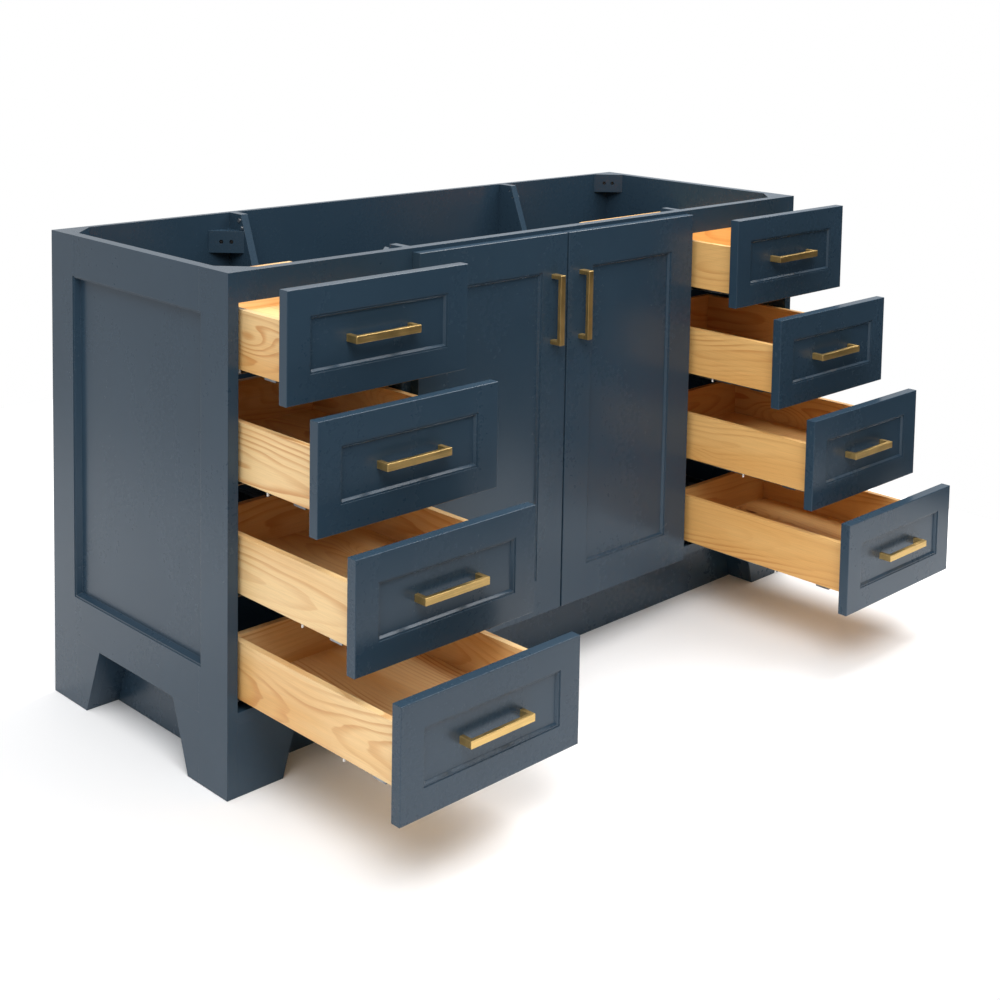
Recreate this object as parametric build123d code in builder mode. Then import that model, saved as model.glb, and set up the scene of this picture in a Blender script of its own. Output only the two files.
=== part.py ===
from build123d import *
from math import atan, degrees
import os

os.makedirs("parts", exist_ok=True)

# Bathroom vanity base, millimetres. +X is the right-hand side seen from the front, +Y points
# to the wall and +Z up. The origin is on the wall plane, on the floor and on the centre line.
# Depths called d are measured back from the front face of the face frame.

# Carcass
WIDTH = 1524.0
HEIGHT = 876.3
DEPTH = 565.0
PANEL = 20.0              # side panels and face frame
BACK = 12.0               # back panel
SIDE_IN = WIDTH / 2 - PANEL
BACK_D = DEPTH - BACK     # depth of the back panel's front face
RAIL_LOW = 826.0          # underside of the top rail
ARCH_TOP = 124.0          # top of the leg arches
FLOOR_TOP = 144.0         # top of the bottom panel and the bottom rail

# Recessed fields with a small stepped and bevelled edge
STEP = 3.0                # width of the outer step
STEP_DEPTH = 1.5
BEVEL = 3.0               # width of the bevel down to the field
SIDE_FIELD = 13.0         # field depth on the side panels
FRONT_FIELD = 6.0         # field depth on doors and drawer fronts
SIDE_WINDOW_D = (77.0, 490.0)
SIDE_WINDOW_Z = (204.0, 802.0)

# Legs: the arch's slanted ends at the floor and at the arch top
FRONT_LEG = (112.0, 147.0)           # leg width seen from the front
SIDE_ARCH_FRONT = (116.0, 162.0)
SIDE_ARCH_REAR = (449.0, 403.0)
PLINTH_IN = 65.0                     # plinth set back behind the legs
PLINTH = 15.0

# Mullions and partitions between the drawer stacks and the sink bay
MULLION_X = (360.5, 398.5)
PARTITION_X = (366.0, 382.0)
NOTCH_FLOOR = 700.0
NOTCH_REAR = (515.0, 444.5)          # depth at the rim and at the notch floor
NOTCH_FRONT = (57.0, 127.5)

# Corner blocks
BLOCK_LEG = 50.0
BLOCK_HEIGHT = 44.0
BLOCK_SCREW_PITCH = 20.0
BLOCK_LOWER = (6.0, 32.0)            # how far the blocks beside the partitions sit lower
COUNTERBORE_R = 4.0
COUNTERBORE_DEPTH = 5.0
PILOT_R = 2.2
PILOT_DEPTH = 24.0
SCREW_HEAD_R = 3.8
SCREW_HEAD = 2.4
SCREW_SLOT = 0.9
SCREW_SHANK_R = 2.15
SCREW_SHANK = 17.0

# Drawer fronts and doors, closed faces 1 mm in front of the face frame
FRONT_X = (381.5, 757.0)
FRONT_MID = sum(FRONT_X) / 2
FRONT_T = 19.6
BUMPER_GAP = 1.0
FRONT_HEIGHT = 181.6
FRONT_TOPS = (869.5, 681.53, 493.56, 305.6)
FRONT_FRAME = 44.5
EASE = 0.8                           # chamfer round the face of doors and drawer fronts
TRAVEL_OPEN = {
    "left": (128.8, 207.5, 300.7, 406.8),
    "right": (115.6, 230.3, 318.8, 408.4),
}

# Drawer boxes
BOX_X = (406.75, 733.75)
BOX_WALL = 12.0
BOX_LOW = {
    "left": (714.5, 529.5, 341.5, 162.5),
    "right": (710.5, 523.5, 338.5, 157.0),
}
BOX_HEIGHT = 98.0
BOX_LENGTH = 450.0
PLY = 6.0
PLY_LIFT = 13.0
PIN_COUNT = 3                        # dovetail pins on each corner
PIN_HALF = (5.5, 8.0)                # half width of a pin at its edge and at its root
PIN_GAP = 0.1

# Undermount slides, centred this far inside the inner wall of the box
SLIDE_INSET = 14.0
SHEET = 1.5
BAR_HALF = 6.0
MIDDLE_HALF = 8.0
OUTER_HALF = 10.0
FLANGE = 2.0
FLANGE_HEIGHT = 20.0                 # above the rail's floor
RAIL_DROP = 10.5                     # top of the cabinet member's floor below the box
BAR_RISE = 4.0                       # top of its bar above the box's lower edge
MIDDLE_Z = (-9.0, 6.5)               # foot and top, from the box's lower edge
OUTER_Z = (-7.0, 13.0)
CABINET_SLIDE_D = (24.0, 474.0)
MIDDLE_SLIDE_D = (20.0, 450.0)
DRAWER_SLIDE_D = (14.0, 444.0)
CLIP_D = (42.0, 72.0)                # behind the back of the drawer front
CLIP_DROP = 4.0
PEG_D = {"left": 147.0, "right": 175.0}
PEG_R = 2.0
PEG_LENGTH = 8.5

# Doors
DOOR_X = (2.0, 377.5)
DOOR_Z = (127.5, 869.5)
DOOR_FRAME = (68.0, 70.5)            # frame width at the sides, at the top and bottom
CUP_X = 355.0
CUP_Z = (227.5, 769.5)
CUP_R = 17.5
CUP_DEPTH = 12.0
CUP_WALL = 1.5
PLATE_X = (356.5, 360.5)             # hinge plates on the mullions
PLATE_D = (2.0, 20.0)
PLATE_HALF = 25.0
ARM_X = (344.5, 356.5)
ARM_D = (1.0, 58.0)
ARM_HALF = 7.5

# Pulls
PULL_LENGTH = 135.0
PULL_HEIGHT = 12.6
PULL_THICK = 8.0
PULL_REACH = 26.0                    # from the surface that it is screwed to
PULL_EASE = 0.6
DOOR_PULL_X = 38.9
DOOR_PULL_Z = 726.0
PULL_SCREW_R = 2.0
PULL_SCREW_HOLE_R = 2.2
PULL_SCREW_HEAD_R = 4.5
PULL_SCREW_HEAD = 2.2

SIDES = {"left": -1, "right": 1}


def y_at(d):
    """Y of a plane at depth d behind the front of the face frame."""
    return d - DEPTH


def board(x, y, z):
    """Plain board that spans the ranges x, y and z."""
    with BuildPart() as piece:
        with BuildSketch(Plane.XY.offset(min(z))):
            with Locations((sum(x) / 2, sum(y) / 2)):
                Rectangle(abs(x[1] - x[0]), abs(y[1] - y[0]))
        extrude(amount=abs(z[1] - z[0]))
    return piece.part


def prism(plane, corners, amount):
    """Straight prism of a polygon drawn on a plane."""
    with BuildPart() as piece:
        with BuildSketch(plane):
            with BuildLine():
                Polyline(*corners, close=True)
            make_face()
        extrude(amount=amount)
    return piece.part


def field_cutter(face, window, depth):
    """Cutter for a recessed field; face looks out of the panel, window is (u0, u1, v0, v1)."""
    centre = ((window[0] + window[1]) / 2, (window[2] + window[3]) / 2)
    size = (window[1] - window[0], window[3] - window[2])
    slope = degrees(atan(BEVEL / (depth - STEP_DEPTH)))
    with BuildPart() as cutter:
        with BuildSketch(face):
            with Locations(centre):
                Rectangle(*size)
        extrude(amount=-STEP_DEPTH)
        with BuildSketch(face.offset(-STEP_DEPTH)):
            with Locations(centre):
                Rectangle(size[0] - 2 * STEP, size[1] - 2 * STEP)
        extrude(amount=STEP_DEPTH - depth, taper=slope)
    return cutter.part


def save(name, *pieces):
    """Write one node; its pieces stay separate solids."""
    node = Compound(label=name, children=list(pieces))
    export_step(node, f"parts/{name}.step")


# ---- Side panels: stiles, rails, leg wedges and an inset field panel ----
def side_pieces(s):
    """Convex boards of one side panel; s is -1 on the left and 1 on the right."""
    inner = Plane.YZ.offset(s * SIDE_IN)
    outer = Plane(origin=(s * WIDTH / 2, 0, 0), x_dir=(0, s, 0), z_dir=(s, 0, 0))
    d0, d1 = SIDE_WINDOW_D
    z0, z1 = SIDE_WINDOW_Z
    u0, u1 = sorted((s * y_at(d0), s * y_at(d1)))
    cutter = field_cutter(outer, (u0, u1, z0, z1), SIDE_FIELD)
    lip = STEP + BEVEL
    outlines = [
        [(0, 0), (d0 + lip, 0), (d0 + lip, HEIGHT), (0, HEIGHT)],
        [(d1 - lip, 0), (DEPTH, 0), (DEPTH, HEIGHT), (d1 - lip, HEIGHT)],
        [(d0 + lip, z1 - lip), (d1 - lip, z1 - lip), (d1 - lip, HEIGHT), (d0 + lip, HEIGHT)],
        [(d0 + lip, ARCH_TOP), (d1 - lip, ARCH_TOP), (d1 - lip, z0 + lip), (d0 + lip, z0 + lip)],
        [(d0 + lip, 0), (SIDE_ARCH_FRONT[0], 0), (SIDE_ARCH_FRONT[1], ARCH_TOP), (d0 + lip, ARCH_TOP)],
        [(SIDE_ARCH_REAR[0], 0), (d1 - lip, 0), (d1 - lip, ARCH_TOP), (SIDE_ARCH_REAR[1], ARCH_TOP)],
    ]
    pieces = []
    for outline in outlines:
        blank = prism(inner, [(y_at(d), z) for d, z in outline], s * PANEL)
        with BuildPart() as piece:
            add(blank)
            add(cutter, mode=Mode.SUBTRACT)
        pieces.append(piece.part)
    field = board(
        (s * SIDE_IN, s * (WIDTH / 2 - SIDE_FIELD)),
        (y_at(d0 + lip), y_at(d1 - lip)),
        (z0 + lip, z1 - lip),
    )
    return pieces + [field]


for name, s in SIDES.items():
    save(f"side_panel_{name}", *side_pieces(s))


# ---- Face frame: rails and mullions between the side panels, with leg brackets ----
FRAME_FACE = Plane.XZ.offset(DEPTH)
frame_pieces = [
    board((-SIDE_IN, SIDE_IN), (y_at(0), y_at(PANEL)), (RAIL_LOW, HEIGHT)),
    board((-SIDE_IN, SIDE_IN), (y_at(0), y_at(PANEL)), (ARCH_TOP, FLOOR_TOP)),
]
for s in SIDES.values():
    mullion = (s * MULLION_X[0], s * MULLION_X[1])
    frame_pieces.append(board(mullion, (y_at(0), y_at(PANEL)), (FLOOR_TOP, RAIL_LOW)))
    bracket = [
        (s * SIDE_IN, 0),
        (s * (WIDTH / 2 - FRONT_LEG[0]), 0),
        (s * (WIDTH / 2 - FRONT_LEG[1]), ARCH_TOP),
        (s * SIDE_IN, ARCH_TOP),
    ]
    frame_pieces.append(prism(FRAME_FACE, bracket, -PANEL))
save("face_frame", *frame_pieces)


# ---- Back, bottom and plinth ----
with BuildPart() as back_panel:
    with BuildSketch(Plane.XZ):
        with Locations((0, HEIGHT / 2)):
            Rectangle(2 * SIDE_IN, HEIGHT)
    extrude(amount=BACK)
back_panel.part.label = "back_panel"
export_step(back_panel.part, "parts/back_panel.step")

with BuildPart() as bottom_panel:
    with BuildSketch(Plane.XY.offset(ARCH_TOP)):
        with Locations((0, (y_at(PANEL) + y_at(BACK_D)) / 2)):
            Rectangle(2 * SIDE_IN, BACK_D - PANEL)
    extrude(amount=FLOOR_TOP - ARCH_TOP)
bottom_panel.part.label = "bottom_panel"
export_step(bottom_panel.part, "parts/bottom_panel.step")

PLINTH_X = WIDTH / 2 - PLINTH_IN
PLINTH_BACK = y_at(PLINTH_IN + PLINTH)
save(
    "plinth",
    board((-PLINTH_X, PLINTH_X), (y_at(PLINTH_IN), PLINTH_BACK), (0, ARCH_TOP)),
    board((-PLINTH_X, -PLINTH_X + PLINTH), (PLINTH_BACK, y_at(BACK_D)), (0, ARCH_TOP)),
    board((PLINTH_X - PLINTH, PLINTH_X), (PLINTH_BACK, y_at(BACK_D)), (0, ARCH_TOP)),
)


# ---- Leg blocks that fill the legs between the panels and the plinth ----
def leg_blocks(s):
    """Front and rear leg blocks on one side."""
    side = Plane.YZ.offset(s * PLINTH_X)
    front = [
        (y_at(PANEL), 0),
        (y_at(SIDE_ARCH_FRONT[0]), 0),
        (y_at(SIDE_ARCH_FRONT[1]), ARCH_TOP),
        (y_at(PANEL), ARCH_TOP),
    ]
    rear = [
        (y_at(SIDE_ARCH_REAR[0]), 0),
        (y_at(BACK_D), 0),
        (y_at(BACK_D), ARCH_TOP),
        (y_at(SIDE_ARCH_REAR[1]), ARCH_TOP),
    ]
    cross = [
        (s * PLINTH_X, 0),
        (s * (WIDTH / 2 - FRONT_LEG[0]), 0),
        (s * (WIDTH / 2 - FRONT_LEG[1]), ARCH_TOP),
        (s * PLINTH_X, ARCH_TOP),
    ]
    return [
        prism(side, front, s * (SIDE_IN - PLINTH_X)),
        prism(side, rear, s * (SIDE_IN - PLINTH_X)),
        prism(Plane.XZ.offset(-y_at(PANEL)), cross, PANEL - PLINTH_IN),
    ]


save("leg_blocks", *leg_blocks(-1), *leg_blocks(1))


# ---- Corner blocks with two counterbored screws each ----
def hypotenuse_plane(x, y, z, sx, sy):
    """Plane on a corner block's slanted face, looking into the cabinet, at mid height."""
    normal = (sx, sy, 0)
    centre = (x + sx * BLOCK_LEG / 2, y + sy * BLOCK_LEG / 2, z + BLOCK_HEIGHT / 2)
    return Plane(origin=centre, x_dir=(-sy, sx, 0), z_dir=normal)


def corner_block(x, y, z, sx, sy):
    """Triangular block in the corner (x, y), opening towards (sx, sy), with its foot at z."""
    corners = [(x, y), (x + sx * BLOCK_LEG, y), (x, y + sy * BLOCK_LEG)]
    with BuildPart() as block:
        add(prism(Plane.XY.offset(z), corners, BLOCK_HEIGHT))
        with BuildSketch(hypotenuse_plane(x, y, z, sx, sy)):
            with GridLocations(BLOCK_SCREW_PITCH, 1, 2, 1):
                Circle(COUNTERBORE_R)
        extrude(amount=-COUNTERBORE_DEPTH, mode=Mode.SUBTRACT)
        with BuildSketch(hypotenuse_plane(x, y, z, sx, sy)):
            with GridLocations(BLOCK_SCREW_PITCH, 1, 2, 1):
                Circle(PILOT_R)
        extrude(amount=-PILOT_DEPTH, mode=Mode.SUBTRACT)
    return block.part


def block_screws(x, y, z, sx, sy):
    """The two screws of one corner block."""
    face = hypotenuse_plane(x, y, z, sx, sy)
    with BuildPart() as screws:
        with BuildSketch(face.offset(-COUNTERBORE_DEPTH)):
            with GridLocations(BLOCK_SCREW_PITCH, 1, 2, 1):
                Circle(SCREW_HEAD_R)
        extrude(amount=SCREW_HEAD)
        with BuildSketch(face.offset(SCREW_HEAD - COUNTERBORE_DEPTH)):
            with GridLocations(BLOCK_SCREW_PITCH, 1, 2, 1):
                SlotCenterToCenter(SCREW_HEAD_R, SCREW_SLOT)
        extrude(amount=-SCREW_HEAD / 2, mode=Mode.SUBTRACT)
        with BuildSketch(face.offset(-COUNTERBORE_DEPTH)):
            with GridLocations(BLOCK_SCREW_PITCH, 1, 2, 1):
                Circle(SCREW_SHANK_R)
        extrude(amount=-SCREW_SHANK)
    return screws.part


block_corners = []
for s in SIDES.values():
    rim_foot = HEIGHT - BLOCK_HEIGHT
    block_corners += [
        (s * SIDE_IN, y_at(PANEL), rim_foot, -s, 1),
        (s * SIDE_IN, y_at(BACK_D), rim_foot, -s, -1),
        (s * PARTITION_X[1], y_at(PANEL), rim_foot - BLOCK_LOWER[0], s, 1),
        (s * PARTITION_X[1], y_at(BACK_D), rim_foot - BLOCK_LOWER[1], s, -1),
    ]
save("corner_blocks", *[corner_block(*corner) for corner in block_corners])


# ---- Partitions beside the sink bay, notched at the top ----
PARTITION_SCREWS = ((519.0, 864.0), (510.0, 849.5))


def partition(s):
    """Notched partition with two screw holes near its rear slope."""
    outline = [
        (PANEL, FLOOR_TOP),
        (BACK_D, FLOOR_TOP),
        (BACK_D, HEIGHT),
        (NOTCH_REAR[0], HEIGHT),
        (NOTCH_REAR[1], NOTCH_FLOOR),
        (NOTCH_FRONT[1], NOTCH_FLOOR),
        (NOTCH_FRONT[0], HEIGHT),
        (PANEL, HEIGHT),
    ]
    outer = Plane.YZ.offset(s * PARTITION_X[1])
    width = PARTITION_X[1] - PARTITION_X[0]
    with BuildPart() as piece:
        add(prism(outer, [(y_at(d), z) for d, z in outline], -s * width))
        with BuildSketch(outer):
            with Locations(*[(y_at(d), z) for d, z in PARTITION_SCREWS]):
                Circle(PILOT_R)
        extrude(amount=-s * width, mode=Mode.SUBTRACT)
    return piece.part


def partition_screws(s):
    """Screws through the partition; their heads stand on its outer face."""
    outer = Plane.YZ.offset(s * PARTITION_X[1])
    centres = [(y_at(d), z) for d, z in PARTITION_SCREWS]
    with BuildPart() as screws:
        with BuildSketch(outer):
            with Locations(*centres):
                Circle(SCREW_HEAD_R)
        extrude(amount=s * SCREW_HEAD)
        with BuildSketch(outer):
            with Locations(*centres):
                Circle(SCREW_SHANK_R)
        extrude(amount=s * (PARTITION_X[0] - PARTITION_X[1] + 1))
    return screws.part


for name, s in SIDES.items():
    save(f"partition_{name}", partition(s))
carcass_screws = [block_screws(*corner) for corner in block_corners]
save("carcass_screws", *carcass_screws, partition_screws(-1), partition_screws(1))


# ---- Pulls: flat bar bent square, with two machine screws ----
PULL_SPOTS = [(side * (PULL_LENGTH - PULL_THICK) / 2, 0) for side in SIDES.values()]


def pull(surface):
    """Pull standing on a surface; the plane's x runs along it and its z looks outwards."""
    half = PULL_LENGTH / 2
    inner = half - PULL_THICK
    grip = PULL_REACH - PULL_THICK
    outline = [
        (-half, 0), (-half, PULL_REACH), (half, PULL_REACH), (half, 0),
        (inner, 0), (inner, grip), (-inner, grip), (-inner, 0),
    ]
    profile = Plane(origin=surface.origin, x_dir=surface.x_dir, z_dir=-surface.y_dir)
    with BuildPart() as bar:
        with BuildSketch(profile):
            with BuildLine():
                Polyline(*outline, close=True)
            make_face()
        extrude(amount=PULL_HEIGHT / 2, both=True)
        eased = bar.edges().filter_by(lambda e: surface.to_local_coords(e.center()).Z > 1)
        chamfer(eased, PULL_EASE)
    return bar.part


def pull_screws(surface, clamped):
    """Two machine screws from behind a board of the clamped thickness."""
    with BuildPart() as screws:
        with BuildSketch(surface.offset(-clamped)):
            with Locations(*PULL_SPOTS):
                Circle(PULL_SCREW_R)
        extrude(amount=clamped)
        with BuildSketch(surface.offset(-clamped)):
            with Locations(*PULL_SPOTS):
                Circle(PULL_SCREW_HEAD_R)
        extrude(amount=-PULL_SCREW_HEAD)
    return screws.part


def front_panel(x, z, opened, frame, surface, cups):
    """Door or drawer front with a recessed field, pull screw holes and hinge cup bores."""
    face = Plane.XZ.offset(-y_at(-opened - BUMPER_GAP - FRONT_T))
    back = face.offset(-FRONT_T)
    window = (min(x) + frame[0], max(x) - frame[0], min(z) + frame[1], max(z) - frame[1])
    with BuildPart() as front:
        add(board(x, (face.origin.Y, back.origin.Y), z))
        chamfer(front.faces().sort_by(Axis.Y)[0].edges(), EASE)
        add(field_cutter(face, window, FRONT_FIELD), mode=Mode.SUBTRACT)
        with BuildSketch(surface):
            with Locations(*PULL_SPOTS):
                Circle(PULL_SCREW_HOLE_R)
        extrude(amount=-FRONT_T, mode=Mode.SUBTRACT)
        if cups:
            with BuildSketch(back):
                with Locations(*cups):
                    Circle(CUP_R)
            extrude(amount=CUP_DEPTH, mode=Mode.SUBTRACT)
    return front.part


# ---- Drawer boxes: dovetailed pine boards and a plywood bottom ----
def dovetail_pins(x, y_edge, y_root, height, gap):
    """Dovetail pins of an end board across one side board, grown by a gap all round."""
    pitch = (height[1] - height[0]) / PIN_COUNT
    edge = PIN_HALF[0] + gap
    root = PIN_HALF[1] + gap
    with BuildPart() as pins:
        for i in range(PIN_COUNT):
            z = height[0] + (i + 0.5) * pitch
            outline = [
                (y_edge, z - edge), (y_root, z - root), (y_root, z + root), (y_edge, z + edge),
            ]
            add(prism(Plane.YZ.offset(x[0]), outline, x[1] - x[0]))
    return pins.part


def drawer_box(s, y0, low, pull_z):
    """Boards of one drawer box whose front end is at y0 and lower edge at low."""
    y1 = y0 + BOX_LENGTH
    top = low + BOX_HEIGHT
    ply_top = low + PLY_LIFT + PLY
    ends = ((y0, y0 + BOX_WALL, (low, top)), (y1, y1 - BOX_WALL, (ply_top, top)))
    walls = (
        (s * BOX_X[0], s * (BOX_X[0] + BOX_WALL)),
        (s * (BOX_X[1] - BOX_WALL), s * BOX_X[1]),
    )
    inside = (s * (BOX_X[0] + BOX_WALL), s * (BOX_X[1] - BOX_WALL))
    pieces = []
    for wall in walls:
        with BuildPart() as side_board:
            add(board(wall, (y0, y1), (low, top)))
            for edge, root, height in ends:
                sockets = dovetail_pins(wall, edge, root, height, PIN_GAP)
                add(sockets, mode=Mode.SUBTRACT)
        pieces.append(side_board.part)
    for edge, root, height in ends:
        with BuildPart() as end_board:
            add(board(inside, (edge, root), height))
            for wall in walls:
                add(dovetail_pins(wall, edge, root, height, 0))
            if edge == y0:
                with BuildSketch(Plane.XZ.offset(-y0)):
                    with Locations(*[(s * FRONT_MID + u, pull_z) for u, _ in PULL_SPOTS]):
                        Circle(PULL_SCREW_HOLE_R)
                extrude(amount=-BOX_WALL, mode=Mode.SUBTRACT)
        pieces.append(end_board.part)
    bottom = board(inside, (y0 + BOX_WALL, y1), (low + PLY_LIFT, ply_top))
    return pieces + [bottom]


# ---- Undermount slides: cabinet rail, middle member and drawer member ----
def channel(x, half, low, z, y):
    """Inverted sheet-steel channel along Y, with foot and top z above low."""
    foot = low + z[0]
    top = low + z[1]
    with BuildPart() as piece:
        with BuildSketch(Plane.XZ.offset(-y[0])):
            with Locations((x, (foot + top) / 2)):
                Rectangle(2 * half, top - foot)
            with Locations((x, (foot + top - SHEET) / 2)):
                Rectangle(2 * (half - SHEET), top - SHEET - foot, mode=Mode.SUBTRACT)
        extrude(amount=y[0] - y[1])
    return piece.part


def cabinet_rail(wall_x, x, low):
    """Rail with a flange on the cabinet wall, a floor and an upright bar."""
    towards = 1 if x > wall_x else -1
    floor_z = low - RAIL_DROP
    outline = [
        (wall_x + towards * FLANGE, floor_z),
        (x - towards * BAR_HALF, floor_z),
        (x - towards * BAR_HALF, low + BAR_RISE),
        (x + towards * BAR_HALF, low + BAR_RISE),
        (x + towards * BAR_HALF, floor_z - FLANGE),
        (wall_x, floor_z - FLANGE),
        (wall_x, floor_z + FLANGE_HEIGHT),
        (wall_x + towards * FLANGE, floor_z + FLANGE_HEIGHT),
    ]
    y0 = y_at(CABINET_SLIDE_D[0])
    y1 = y_at(CABINET_SLIDE_D[1])
    return prism(Plane.XZ.offset(-y0), outline, y0 - y1)


def runner(box_wall, slide_x, y0, low, peg_d):
    """Drawer member with its locking clip and its plastic peg under one box wall."""
    slid = y0 - y_at(-BUMPER_GAP)
    y = (y_at(DRAWER_SLIDE_D[0]) + slid, y_at(DRAWER_SLIDE_D[1]) + slid)
    out = 1 if box_wall > slide_x else -1
    clip = board(
        (slide_x + out * OUTER_HALF, box_wall + out * (BOX_WALL / 2 - 1)),
        (y0 + CLIP_D[0], y0 + CLIP_D[1]),
        (low - CLIP_DROP, low),
    )
    with BuildPart() as peg:
        with BuildSketch(Plane.XY.offset(low)):
            with Locations((box_wall, y0 + peg_d)):
                Circle(PEG_R)
        extrude(amount=-PEG_LENGTH)
    return [channel(slide_x, OUTER_HALF, low, OUTER_Z, y), clip, peg.part]


# ---- Drawers, standing open as far as TRAVEL_OPEN says ----
SLIDE_X = (BOX_X[0] + BOX_WALL + SLIDE_INSET, BOX_X[1] - BOX_WALL - SLIDE_INSET)
BOX_WALL_X = (BOX_X[0] + BOX_WALL / 2, BOX_X[1] - BOX_WALL / 2)
CABINET_WALL_X = (PARTITION_X[1], SIDE_IN)

cabinet_rails = []
for name, s in SIDES.items():
    for row in range(len(FRONT_TOPS)):
        tag = f"{name}_{row + 1}"
        opened = TRAVEL_OPEN[name][row]
        low = BOX_LOW[name][row]
        top = FRONT_TOPS[row]
        y0 = y_at(-opened - BUMPER_GAP)
        surface = Plane(
            origin=(s * FRONT_MID, y0 - FRONT_T + FRONT_FIELD, top - FRONT_HEIGHT / 2),
            x_dir=(1, 0, 0),
            z_dir=(0, -1, 0),
        )
        front_x = (s * FRONT_X[0], s * FRONT_X[1])
        front_z = (top - FRONT_HEIGHT, top)
        frame = (FRONT_FRAME, FRONT_FRAME)
        front = front_panel(front_x, front_z, opened, frame, surface, [])
        save(f"drawer_front_{tag}", front)
        save(f"drawer_box_{tag}", *drawer_box(s, y0, low, surface.origin.Z))
        screws = pull_screws(surface, FRONT_T - FRONT_FIELD + BOX_WALL)
        save(f"drawer_pull_{tag}", pull(surface), screws)
        middle_y = [y_at(d) - opened / 2 for d in MIDDLE_SLIDE_D]
        runners = []
        middles = []
        for i in range(len(SLIDE_X)):
            slide_x = s * SLIDE_X[i]
            runners += runner(s * BOX_WALL_X[i], slide_x, y0, low, PEG_D[name])
            middles.append(channel(slide_x, MIDDLE_HALF, low, MIDDLE_Z, middle_y))
            cabinet_rails.append(cabinet_rail(s * CABINET_WALL_X[i], slide_x, low))
        save(f"drawer_runner_{tag}", *runners)
        save(f"slide_middle_{tag}", *middles)
save("slide_cabinet_rails", *cabinet_rails)


# ---- Doors, their pulls, hinge cups and hinge plates ----
def hinge_cup(x, z):
    """Pressed cup that fills the bore in the back of a door."""
    back = Plane.XZ.offset(-y_at(-BUMPER_GAP))
    with BuildPart() as cup:
        with BuildSketch(back):
            with Locations((x, z)):
                Circle(CUP_R)
        extrude(amount=CUP_DEPTH)
        with BuildSketch(back):
            with Locations((x, z)):
                Circle(CUP_R - CUP_WALL)
        extrude(amount=CUP_DEPTH - CUP_WALL, mode=Mode.SUBTRACT)
    return cup.part


hinge_plates = []
for name, s in SIDES.items():
    surface = Plane(
        origin=(s * DOOR_PULL_X, y_at(-BUMPER_GAP - FRONT_T), DOOR_PULL_Z),
        x_dir=(0, 0, 1),
        z_dir=(0, -1, 0),
    )
    cups = [(s * CUP_X, z) for z in CUP_Z]
    door_x = (s * DOOR_X[0], s * DOOR_X[1])
    save(f"door_{name}", front_panel(door_x, DOOR_Z, 0, DOOR_FRAME, surface, cups))
    save(f"door_pull_{name}", pull(surface), pull_screws(surface, FRONT_T))
    save(f"door_hinge_cups_{name}", *[hinge_cup(x, z) for x, z in cups])
    for z in CUP_Z:
        hinge_plates.append(
            board(
                (s * PLATE_X[0], s * PLATE_X[1]),
                (y_at(PLATE_D[0]), y_at(PLATE_D[1])),
                (z - PLATE_HALF, z + PLATE_HALF),
            )
        )
        hinge_plates.append(
            board(
                (s * ARM_X[0], s * ARM_X[1]),
                (y_at(ARM_D[0]), y_at(ARM_D[1])),
                (z - ARM_HALF, z + ARM_HALF),
            )
        )
save("hinge_plates", *hinge_plates)
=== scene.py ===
import math

import bpy
from mathutils import Matrix, Vector


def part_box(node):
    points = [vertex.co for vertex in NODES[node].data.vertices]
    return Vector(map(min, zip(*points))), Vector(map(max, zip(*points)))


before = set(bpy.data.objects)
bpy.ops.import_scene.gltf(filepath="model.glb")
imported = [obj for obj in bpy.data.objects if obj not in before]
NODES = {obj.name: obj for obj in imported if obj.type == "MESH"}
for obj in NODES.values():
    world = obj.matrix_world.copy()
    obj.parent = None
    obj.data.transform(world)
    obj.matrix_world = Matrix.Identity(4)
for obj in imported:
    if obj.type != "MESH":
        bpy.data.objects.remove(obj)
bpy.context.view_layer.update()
SCENE = bpy.context.scene

# ---------------------------------------------------------------- camera
CAMERA_PLACE = Vector((-2.1877, -2.6595, 1.3422))
CAMERA_YAW = math.radians(45.672)      # clockwise from +Y
CAMERA_DOWN = math.radians(5.216)
CAMERA_ROLL = math.radians(1.158)
CAMERA_LENS = 57.06      # millimetres, like the sensor
CAMERA_SHIFT = (-0.04745, -0.37037)
CAMERA_SENSOR = 36.0
CAMERA_REACH = 200.0     # metres

# ---------------------------------------------------------------- palette, linear
PAINT = (0.0235, 0.047, 0.073)
PAINT_DEEP = (0.0205, 0.042, 0.066)
PAINT_EDGE = (0.050, 0.088, 0.130)
PINE_PALE = (0.82, 0.575, 0.285)
# Deeper honey tone for the right stack's boxes: painted shade, the same pine darkened for the
# dimmer light there.
PINE_HONEY_SHADED = (0.76, 0.455, 0.165)
PINE_WARM = (0.68, 0.355, 0.105)
PINE_LATE = (0.52, 0.205, 0.045)
PINE_KNOT = (0.22, 0.070, 0.018)
BRASS = (0.74, 0.51, 0.205)
BRASS_DARK = (0.55, 0.365, 0.130)
BRASS_WORN = (0.80, 0.60, 0.30)
# Dark slide steel: partly the steel's own grey, partly painted shade for the dim space under the
# boxes.
STEEL = (0.30, 0.31, 0.325)
STEEL_DARK = (0.11, 0.115, 0.12)
STEEL_WORN = (0.7, 0.7, 0.7)
ZINC_LIGHT = (0.62, 0.62, 0.63)
ZINC_DARK = (0.40, 0.40, 0.41)
BLACK_LIGHT = (0.050, 0.050, 0.055)
BLACK_DARK = (0.022, 0.022, 0.024)
WHITE_PLASTIC = (0.78, 0.78, 0.75)
FLOOR_PAPER = (0.93, 0.93, 0.935)
WHITE = (1.0, 1.0, 1.0, 1.0)

# ---------------------------------------------------------------- surfaces, metres
X, Y, Z = 0, 1, 2
EDGE_PAINT = 0.0009
EDGE_WOOD = 0.0009
EDGE_PIN = 0.0006
EDGE_BRASS = 0.0007
EDGE_STEEL = 0.0005
EDGE_NYLON = 0.0006
RING_PITCH = 0.0085
RING_PERIOD = 0.0935     # half the drawers' pitch, so that each board holds one heart
RING_SHIFT = -0.020
PLY_LIGHT = 1.10

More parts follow.
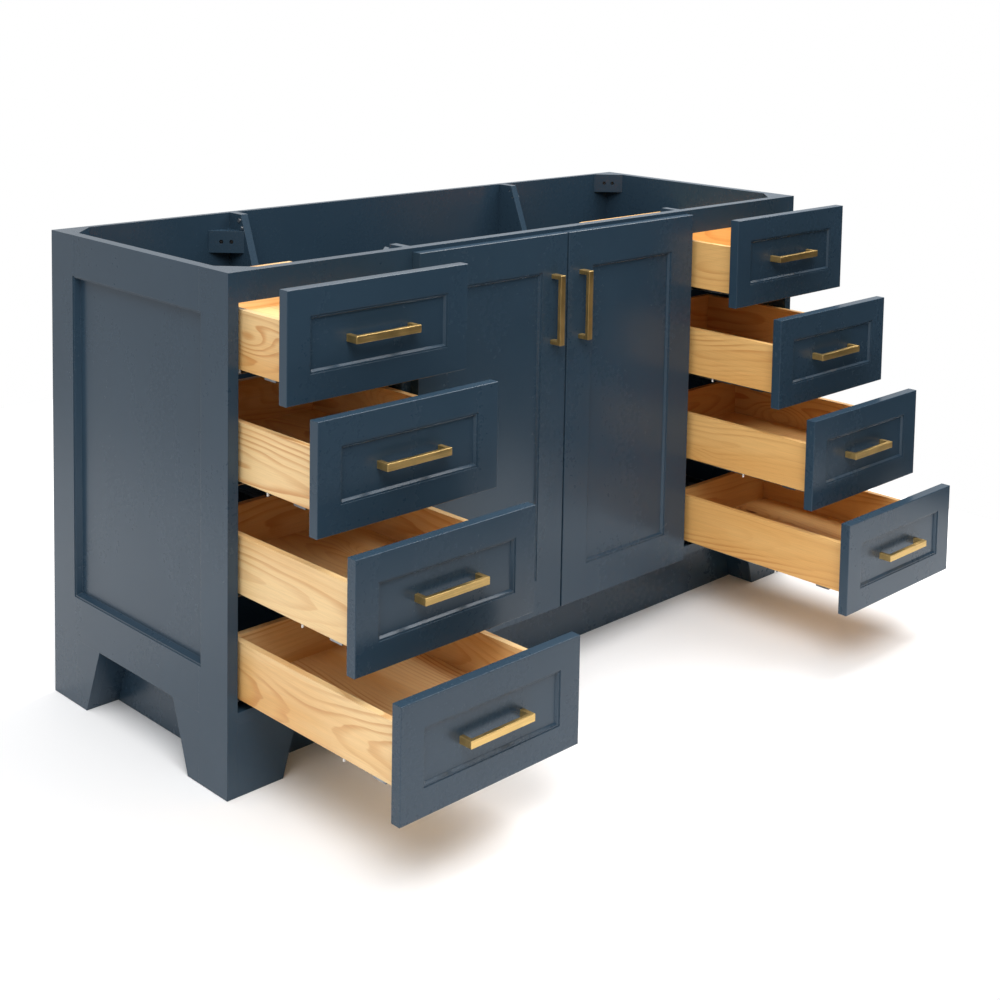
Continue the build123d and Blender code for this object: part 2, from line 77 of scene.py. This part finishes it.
# ---------------------------------------------------------------- parts told apart, metres
BOX_WALL = 0.012
PLY_LIFT = 0.013
PLY = 0.006
PINS = 3
PIN_HALF = 0.0055
FACE_SLACK = 0.0004
SQUARE_ON = 0.9          # a normal's share along an axis that makes the face square to it
SIDE_BOARD, END_BOARD, PLY_BOARD, PIN_END = range(4)
PEG_BEHIND = {"left": 0.132, "right": 0.160}    # peg's axis behind the slide member's front end
PEG_HALF = 0.004
PARTITION_OUT = 0.385    # beyond the partitions' screws, short of the corner blocks'

# ---------------------------------------------------------------- studio, metres and watts
FLOOR_EXTENT = (-1.6, -1.7, 1.45, 1.9)
FLOOR_DROP = 0.0005
SKY_AWAY = (-0.60, 0.80, 0.0)
SKY_LEVEL = (-0.75, 0.10, 0.04, 0.70)    # from the front right to the back left
SKY_ABOVE = (0.25, 0.85, 0.04, 0.75)     # from the horizon to overhead
KEY_LAMP = {
    "place": (-1.7, -2.3, 3.1), "target": (-0.2, -0.6, 0.3), "size": (2.2, 1.8), "power": 75.0,
}
TOP_LAMP = {
    "place": (1.3, -0.4, 2.8), "target": (-0.3, -0.7, 0.3), "size": (2.0, 2.0), "power": 95.0,
}
DAY_TOWARDS = (0.40, 0.30, -0.86)
DAY_STRENGTH = 0.75
DAY_SPREAD = math.radians(50.0)


# ---------------------------------------------------------------- node helpers
class Shader:
    """A material's node tree with short ways to add and join nodes."""

    def __init__(self, name):
        self.material = bpy.data.materials.new(name)
        self.material.use_nodes = True
        self.tree = self.material.node_tree
        self.bsdf = self.tree.nodes["Principled BSDF"]
        coords = self.tree.nodes.new("ShaderNodeTexCoord")
        self.place = coords.outputs["Object"]

    def put(self, socket, value):
        """Joins a socket to another, or sets its value."""
        if isinstance(value, bpy.types.NodeSocket):
            self.tree.links.new(value, socket)
        elif isinstance(value, tuple) and len(value) == 3 and len(socket.default_value) == 4:
            socket.default_value = (*value, 1.0)
        else:
            socket.default_value = value

    def scaled(self, scale):
        node = self.tree.nodes.new("ShaderNodeMapping")
        self.put(node.inputs["Vector"], self.place)
        node.inputs["Scale"].default_value = scale
        return node.outputs[0]

    def noise(self, vector, scale, detail, rough):
        node = self.tree.nodes.new("ShaderNodeTexNoise")
        self.put(node.inputs["Vector"], vector)
        node.inputs["Scale"].default_value = scale
        node.inputs["Detail"].default_value = detail
        node.inputs["Roughness"].default_value = rough
        return node.outputs[0]

    def cells(self, vector, scale=1.0):
        node = self.tree.nodes.new("ShaderNodeTexVoronoi")
        self.put(node.inputs["Vector"], vector)
        node.inputs["Scale"].default_value = scale
        return node.outputs["Distance"], node.outputs["Color"]

    def math(self, operation, a, b=0.0):
        node = self.tree.nodes.new("ShaderNodeMath")
        node.operation = operation
        self.put(node.inputs[0], a)
        self.put(node.inputs[1], b)
        return node.outputs[0]

    def span(self, value, low, high, to_low=0.0, to_high=1.0):
        node = self.tree.nodes.new("ShaderNodeMapRange")
        node.interpolation_type = "SMOOTHSTEP"
        self.put(node.inputs["Value"], value)
        node.inputs["From Min"].default_value = low
        node.inputs["From Max"].default_value = high
        node.inputs["To Min"].default_value = to_low
        node.inputs["To Max"].default_value = to_high
        return node.outputs[0]

    def mix(self, factor, a, b):
        node = self.tree.nodes.new("ShaderNodeMix")
        node.data_type = "RGBA"
        self.put(node.inputs[0], factor)
        colour_a, colour_b = node.inputs[6], node.inputs[7]
        self.put(colour_a, a)
        self.put(colour_b, b)
        return node.outputs[2]

    def tint(self, colour, amount):
        node = self.tree.nodes.new("ShaderNodeVectorMath")
        node.operation = "SCALE"
        self.put(node.inputs[0], colour)
        self.put(node.inputs["Scale"], amount)
        return node.outputs[0]

    def split(self, vector):
        node = self.tree.nodes.new("ShaderNodeSeparateXYZ")
        self.put(node.inputs[0], vector)
        return node.outputs

    def join(self, x, y, z):
        node = self.tree.nodes.new("ShaderNodeCombineXYZ")
        for socket, value in zip(node.inputs, (x, y, z)):
            self.put(socket, value)
        return node.outputs[0]

    def round_edges(self, radius):
        """A softened normal, and a mask that is 1 on sharp edges."""
        bevel = self.tree.nodes.new("ShaderNodeBevel")
        bevel.samples = 6
        bevel.inputs["Radius"].default_value = radius
        geometry = self.tree.nodes.new("ShaderNodeNewGeometry")
        dot = self.tree.nodes.new("ShaderNodeVectorMath")
        dot.operation = "DOT_PRODUCT"
        self.put(dot.inputs[0], bevel.outputs[0])
        self.put(dot.inputs[1], geometry.outputs["Normal"])
        mask = self.span(dot.outputs["Value"], 0.80, 0.995, 1.0, 0.0)
        return bevel.outputs[0], mask

    def bump(self, height, distance, strength, normal=None):
        node = self.tree.nodes.new("ShaderNodeBump")
        node.inputs["Distance"].default_value = distance
        node.inputs["Strength"].default_value = strength
        self.put(node.inputs["Height"], height)
        if normal is not None:
            self.put(node.inputs["Normal"], normal)
        return node.outputs[0]

    def finish(self, colour, roughness, normal, metallic=0.0, specular=0.5):
        self.put(self.bsdf.inputs["Base Color"], colour)
        self.put(self.bsdf.inputs["Roughness"], roughness)
        self.put(self.bsdf.inputs["Normal"], normal)
        self.bsdf.inputs["Metallic"].default_value = metallic
        self.bsdf.inputs["Specular IOR Level"].default_value = specular
        return self.material


def paint():
    """Satin blue sprayed paint: faint mottle, fine orange peel, edges rubbed a little paler."""
    s = Shader("satin_paint")
    cloud = s.noise(s.place, 2.2, 4.0, 0.55)
    fine = s.noise(s.place, 90.0, 3.0, 0.6)
    colour = s.mix(s.span(cloud, 0.35, 0.65), PAINT_DEEP, PAINT)
    colour = s.mix(s.span(fine, 0.45, 0.75, 0.0, 0.03), colour, PAINT_EDGE)
    normal, edge = s.round_edges(EDGE_PAINT)
    patchy = s.noise(s.place, 14.0, 4.0, 0.7)
    rubbed = s.math("MULTIPLY", edge, s.span(patchy, 0.30, 0.75, 0.12, 0.24))
    colour = s.mix(rubbed, colour, PAINT_EDGE)
    smears = s.noise(s.scaled((4.0, 4.0, 1.6)), 1.5, 2.0, 0.5)
    smeared = s.span(smears, 0.25, 0.75, 0.24, 0.28)
    rough = s.math("ADD", smeared, s.span(fine, 0.2, 0.8, 0.0, 0.02))
    peel = s.noise(s.place, 420.0, 2.0, 0.5)
    normal = s.bump(peel, 0.00005, 0.04, normal)
    return s.finish(colour, rough, normal, specular=0.37)


def pine(name, along, across, through, base, light=1.0):
    """Lacquered flat-sawn pine; along, across and through are the grain's axes, 0, 1 or 2."""
    s = Shader(name)
    axes = s.split(s.place)
    parts = (axes[along], axes[across], axes[through])

    def stretched(a, b, c, shift=0.0):
        return s.join(
            s.math("MULTIPLY", parts[0], a), s.math("MULTIPLY", parts[1], b),
            s.math("ADD", s.math("MULTIPLY", parts[2], c), shift),
        )

    # Rings round a pith that wanders below the face, so that they open out in flames.
    wander = s.noise(stretched(1.1, 0.4, 7.0, 3.0), 1.0, 2.0, 0.45)
    aside = s.math("ADD", parts[1], s.span(wander, 0.25, 0.75, -0.030, 0.030))
    aside = s.math("PINGPONG", s.math("ADD", aside, RING_SHIFT), RING_PERIOD)
    sunk = s.noise(stretched(1.2, 1.2, 9.0, 17.0), 1.0, 2.0, 0.4)
    sunk = s.span(sunk, 0.30, 0.72, 0.015, 0.080)
    aside_square = s.math("MULTIPLY", aside, aside)
    sunk_square = s.math("MULTIPLY", sunk, sunk)
    reach = s.math("SQRT", s.math("ADD", aside_square, sunk_square))
    wobble = s.noise(stretched(5.0, 36.0, 12.0, 5.0), 1.0, 2.0, 0.5)
    phase = s.math("ADD", s.math("DIVIDE", reach, RING_PITCH), s.math("MULTIPLY", wobble, 1.1))
    distance, pick = s.cells(stretched(3.6, 11.0, 3.0, 1.0))
    chosen = s.span(s.split(pick)[0], 0.74, 0.76)
    swirl = s.math("MULTIPLY", s.span(distance, 0.02, 0.40, 4.0, 0.0), chosen)
    phase = s.math("ADD", phase, swirl)
    knot = s.math("MULTIPLY", s.span(distance, 0.030, 0.075, 1.0, 0.0), chosen)
    ring = s.math("FRACT", phase)
    late = s.math("MULTIPLY", s.span(ring, 0.42, 0.88), s.span(ring, 0.92, 1.0, 1.0, 0.0))
    broad = s.noise(stretched(1.3, 9.0, 4.0, 7.0), 1.0, 3.0, 0.5)
    bold = s.noise(stretched(1.5, 16.0, 3.0, 11.0), 1.0, 2.0, 0.5)
    fibre = s.noise(stretched(12.0, 700.0, 400.0, 2.0), 1.0, 2.0, 0.6)
    pores = s.noise(stretched(40.0, 1500.0, 900.0, 5.0), 1.0, 1.0, 0.5)
    colour = s.mix(s.span(broad, 0.42, 0.72, 0.0, 0.85), base, PINE_WARM)
    drawn = s.math("MULTIPLY", late, s.span(bold, 0.36, 0.68, 0.10, 0.72))
    colour = s.mix(drawn, colour, PINE_LATE)
    colour = s.mix(knot, colour, PINE_KNOT)
    fibrous = s.span(fibre, 0.25, 0.75, 0.93, 1.04)
    shade = s.math("MULTIPLY", fibrous, s.span(pores, 0.62, 0.75, 1.0, 0.90))
    colour = s.tint(colour, s.math("MULTIPLY", shade, light))
    normal, edge = s.round_edges(EDGE_WOOD)
    colour = s.mix(s.math("MULTIPLY", edge, 0.22), colour, PINE_PALE)
    normal = s.bump(fibre, 0.0002, 0.18, normal)
    normal = s.bump(late, 0.0002, 0.15, normal)
    dull = s.span(fibre, 0.2, 0.8, 0.36, 0.48)
    rough = s.math("ADD", dull, s.math("MULTIPLY", late, -0.06))
    return s.finish(colour, rough, normal, specular=0.45)


def end_grain():
    """End grain of the dovetail pins: close arcs and open pores."""
    s = Shader("pine_end_grain")
    axes = s.split(s.place)
    drift = s.noise(s.place, 22.0, 2.0, 0.5)
    phase = s.math("ADD", s.math("MULTIPLY", axes[2], 330.0), s.math("MULTIPLY", axes[1], 190.0))
    phase = s.math("FRACT", s.math("ADD", phase, s.math("MULTIPLY", drift, 4.0)))
    late = s.span(phase, 0.2, 0.9, 0.0, 0.8)
    pores = s.noise(s.place, 1500.0, 2.0, 0.6)
    colour = s.mix(late, PINE_WARM, PINE_LATE)
    colour = s.tint(colour, s.span(pores, 0.3, 0.7, 0.62, 0.92))
    normal, _ = s.round_edges(EDGE_PIN)
    normal = s.bump(pores, 0.0002, 0.4, normal)
    return s.finish(colour, s.span(pores, 0.3, 0.7, 0.55, 0.7), normal, specular=0.35)


def brushed_brass(name, along):
    """Satin brass, brushed along the bar."""
    s = Shader(name)
    scale = [900.0, 900.0, 900.0]
    scale[along] = 14.0    # long, thin lines
    lines = s.noise(s.scaled(tuple(scale)), 1.0, 3.0, 0.65)
    patch = s.noise(s.place, 30.0, 3.0, 0.6)
    colour = s.mix(s.span(lines, 0.3, 0.7), BRASS_DARK, BRASS)
    normal, edge = s.round_edges(EDGE_BRASS)
    colour = s.mix(s.math("MULTIPLY", edge, 0.5), colour, BRASS_WORN)
    colour = s.tint(colour, s.span(patch, 0.3, 0.7, 0.92, 1.08))
    brushed = s.span(lines, 0.3, 0.7, 0.36, 0.46)
    rough = s.math("ADD", brushed, s.span(patch, 0.35, 0.7, 0.0, 0.06))
    normal = s.bump(lines, 0.00006, 0.20, normal)
    s.bsdf.inputs["Anisotropic"].default_value = 0.4
    return s.finish(colour, rough, normal, metallic=1.0)


def sheet_steel(name, light, dark):
    """Zinc-plated sheet: faint spangle, drawing lines along the slide and a trace of grease."""
    s = Shader(name)
    lines = s.noise(s.scaled((700.0, 10.0, 700.0)), 1.0, 3.0, 0.6)
    _, pick = s.cells(s.place, 160.0)
    grease = s.noise(s.place, 18.0, 4.0, 0.6)
    colour = s.mix(s.span(grease, 0.40, 0.65), light, dark)
    colour = s.tint(colour, s.span(s.split(pick)[0], 0.0, 1.0, 0.88, 1.08))
    normal, edge = s.round_edges(EDGE_STEEL)
    colour = s.mix(s.math("MULTIPLY", edge, 0.4), colour, STEEL_WORN)
    rolled = s.span(lines, 0.3, 0.7, 0.25, 0.38)
    rough = s.math("ADD", rolled, s.span(grease, 0.4, 0.7, 0.0, 0.12))
    normal = s.bump(lines, 0.00008, 0.3, normal)
    return s.finish(colour, rough, normal, metallic=1.0)


def plastic():
    """White moulded nylon."""
    s = Shader("white_nylon")
    mottle = s.noise(s.place, 60.0, 3.0, 0.6)
    colour = s.tint(WHITE_PLASTIC, s.span(mottle, 0.3, 0.7, 0.93, 1.0))
    normal, _ = s.round_edges(EDGE_NYLON)
    normal = s.bump(s.noise(s.place, 900.0, 2.0, 0.5), 0.0001, 0.2, normal)
    return s.finish(colour, s.span(mottle, 0.3, 0.7, 0.38, 0.48), normal)


PAINTED = paint()
# The right stack takes the deeper base as painted shade; both stacks are the same pine.
PINE_BOARDS = {
    side: (
        pine("pine_side_board_" + side, Y, Z, X, base),
        pine("pine_end_board_" + side, X, Z, Y, base),
        pine("pine_ply_bottom_" + side, Y, X, Z, base, light=PLY_LIGHT),
    )
    for side, base in (("left", PINE_PALE), ("right", PINE_HONEY_SHADED))
}
PINE_PIN = end_grain()
BRASS_X = brushed_brass("brushed_brass_level", X)
BRASS_Z = brushed_brass("brushed_brass_upright", Z)
# The slides' dark steel is partly painted shade for the dim space under the boxes.
SLIDE = sheet_steel("slide_steel", STEEL, STEEL_DARK)
ZINC = sheet_steel("bright_zinc", ZINC_LIGHT, ZINC_DARK)
BLACK_STEEL = sheet_steel("black_steel", BLACK_LIGHT, BLACK_DARK)
NYLON = plastic()


def dress(node, *materials):
    """Gives a CAD node its materials, in slot order."""
    mesh = NODES[node].data
    mesh.materials.clear()
    for material in materials:
        mesh.materials.append(material)
    for polygon in mesh.polygons:
        polygon.material_index = 0


def sort_faces(node, choose):
    """Gives each face the slot that choose(centre, normal) names."""
    for polygon in NODES[node].data.polygons:
        polygon.material_index = choose(polygon.center, polygon.normal)


def hand_of(node):
    """The stack of drawers that the node belongs to."""
    return "left" if "left" in node else "right"


def board_of(node):
    """Chooser of side board, end board, bottom or dovetail pin in one drawer box."""
    low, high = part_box(node)
    ply_foot = low[Z] + PLY_LIFT
    ply_top = low[Z] + PLY_LIFT + PLY

    def pin_at(z, foot):
        pitch = (high[Z] - foot) / PINS
        return any(abs(z - foot - (i + 0.5) * pitch) < PIN_HALF for i in range(PINS))

    def choose(centre, normal):
        in_wall = min(centre.x - low[X], high[X] - centre.x) < BOX_WALL - FACE_SLACK
        front = centre.y - low[Y] < BOX_WALL + FACE_SLACK
        rear = high[Y] - centre.y < BOX_WALL + FACE_SLACK
        sideways = abs(normal.x) > SQUARE_ON
        if in_wall:
            pin = front and pin_at(centre.z, low[Z]) or rear and pin_at(centre.z, ply_top)
            return PIN_END if sideways and pin else SIDE_BOARD
        in_ply = ply_foot - FACE_SLACK < centre.z < ply_top + FACE_SLACK
        if in_ply and abs(normal.z) > SQUARE_ON:
            return PLY_BOARD
        return SIDE_BOARD if sideways else END_BOARD

    return choose


def peg_of(node):
    """Chooser of the plastic peg in a drawer's slide member."""
    peg_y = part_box(node)[0][Y] + PEG_BEHIND[hand_of(node)]
    return lambda centre, normal: 1 if abs(centre.y - peg_y) < PEG_HALF else 0


def head_of(centre, normal):
    """Bright screws in the partitions, black ones in the corner blocks."""
    return 0 if abs(centre.x) < PARTITION_OUT else 1


for name in NODES:
    if name.startswith("drawer_box"):
        dress(name, *PINE_BOARDS[hand_of(name)], PINE_PIN)
        sort_faces(name, board_of(name))
    elif name.startswith("drawer_pull"):
        dress(name, BRASS_X)
    elif name.startswith("door_pull"):
        dress(name, BRASS_Z)
    elif name.startswith("drawer_runner"):
        dress(name, SLIDE, NYLON)
        sort_faces(name, peg_of(name))
    elif name.startswith("slide"):
        dress(name, SLIDE)
    elif name == "carcass_screws":
        dress(name, ZINC, BLACK_STEEL)
        sort_faces(name, head_of)
    elif name == "hinge_plates" or name.startswith("door_hinge"):
        dress(name, ZINC)
    else:
        dress(name, PAINTED)


# ---------------------------------------------------------------- studio
def floor():
    """Pale sheet of paper under the object."""
    s = Shader("studio_floor")
    soft = s.noise(s.place, 0.7, 3.0, 0.5)
    colour = s.tint(FLOOR_PAPER, s.span(soft, 0.3, 0.7, 0.985, 1.0))
    normal = s.bump(s.noise(s.place, 120.0, 2.0, 0.5), 0.0002, 0.05)
    material = s.finish(colour, s.span(soft, 0.3, 0.7, 0.6, 0.7), normal, specular=0.15)
    x0, y0, x1, y1 = FLOOR_EXTENT
    mesh = bpy.data.meshes.new("studio_floor")
    mesh.from_pydata([(x0, y0, 0), (x1, y0, 0), (x1, y1, 0), (x0, y1, 0)], [], [(0, 1, 2, 3)])
    mesh.materials.append(material)
    plane = bpy.data.objects.new("studio_floor", mesh)
    plane.location = (0, 0, -FLOOR_DROP)
    SCENE.collection.objects.link(plane)


def softbox(name, place, target, size, power):
    """Square soft light that points at target."""
    light = bpy.data.lights.new(name, "AREA")
    light.shape = "RECTANGLE"
    light.size, light.size_y = size
    light.energy = power
    holder = bpy.data.objects.new(name, light)
    holder.location = place
    aim = Vector(target) - Vector(place)
    holder.rotation_euler = aim.to_track_quat("-Z", "Y").to_euler()
    SCENE.collection.objects.link(holder)


def sun(name, towards, strength, spread):
    """Distant soft light that shines along towards."""
    light = bpy.data.lights.new(name, "SUN")
    light.energy = strength
    light.angle = spread
    holder = bpy.data.objects.new(name, light)
    holder.rotation_euler = Vector(towards).to_track_quat("-Z", "Y").to_euler()
    SCENE.collection.objects.link(holder)


def sky():
    """White studio that is dim beyond the front right corner; the camera sees it plain white."""
    world = bpy.data.worlds.new("studio")
    SCENE.world = world
    world.use_nodes = True
    tree = world.node_tree
    background = tree.nodes["Background"]
    coords = tree.nodes.new("ShaderNodeTexCoord")
    way = coords.outputs["Generated"]

    def along(direction, low, high, to_low, to_high):
        dot = tree.nodes.new("ShaderNodeVectorMath")
        dot.operation = "DOT_PRODUCT"
        tree.links.new(way, dot.inputs[0])
        dot.inputs[1].default_value = direction
        ramp = tree.nodes.new("ShaderNodeMapRange")
        ramp.interpolation_type = "SMOOTHSTEP"
        tree.links.new(dot.outputs["Value"], ramp.inputs["Value"])
        for socket, value in zip(ramp.inputs[1:5], (low, high, to_low, to_high)):
            socket.default_value = value
        return ramp.outputs[0]

    def blend(a, b, operation):
        node = tree.nodes.new("ShaderNodeMath")
        node.operation = operation
        for socket, value in zip(node.inputs, (a, b)):
            if isinstance(value, bpy.types.NodeSocket):
                tree.links.new(value, socket)
            else:
                socket.default_value = value
        return node.outputs[0]

    level = along(SKY_AWAY, *SKY_LEVEL)
    above = along((0.0, 0.0, 1.0), *SKY_ABOVE)
    studio = blend(level, above, "MAXIMUM")
    seen = tree.nodes.new("ShaderNodeLightPath").outputs["Is Camera Ray"]
    tree.links.new(blend(studio, seen, "MAXIMUM"), background.inputs["Strength"])
    background.inputs["Color"].default_value = WHITE


def camera():
    """The scene's camera, turned by yaw, then down, then roll, with its lens shifted."""
    yaw, down, roll = CAMERA_YAW, CAMERA_DOWN, CAMERA_ROLL
    ahead = Vector((
        math.sin(yaw) * math.cos(down), math.cos(yaw) * math.cos(down), -math.sin(down)
    ))
    level = Vector((math.cos(yaw), -math.sin(yaw), 0.0))
    upright = level.cross(ahead)
    right = math.cos(roll) * level + math.sin(roll) * upright
    up = math.cos(roll) * upright - math.sin(roll) * level
    data = bpy.data.cameras.new("camera")
    data.sensor_width = CAMERA_SENSOR
    data.lens = CAMERA_LENS
    data.shift_x, data.shift_y = CAMERA_SHIFT
    data.clip_end = CAMERA_REACH
    holder = bpy.data.objects.new("camera", data)
    turn = Matrix((right, up, -ahead)).transposed().to_4x4()
    holder.matrix_world = Matrix.Translation(CAMERA_PLACE) @ turn
    SCENE.collection.objects.link(holder)
    SCENE.camera = holder


floor()
sky()
camera()
softbox("key", **KEY_LAMP)
softbox("top", **TOP_LAMP)
sun("day", DAY_TOWARDS, DAY_STRENGTH, DAY_SPREAD)
SCENE.view_settings.view_transform = "Standard"
SCENE.view_settings.look = "None"
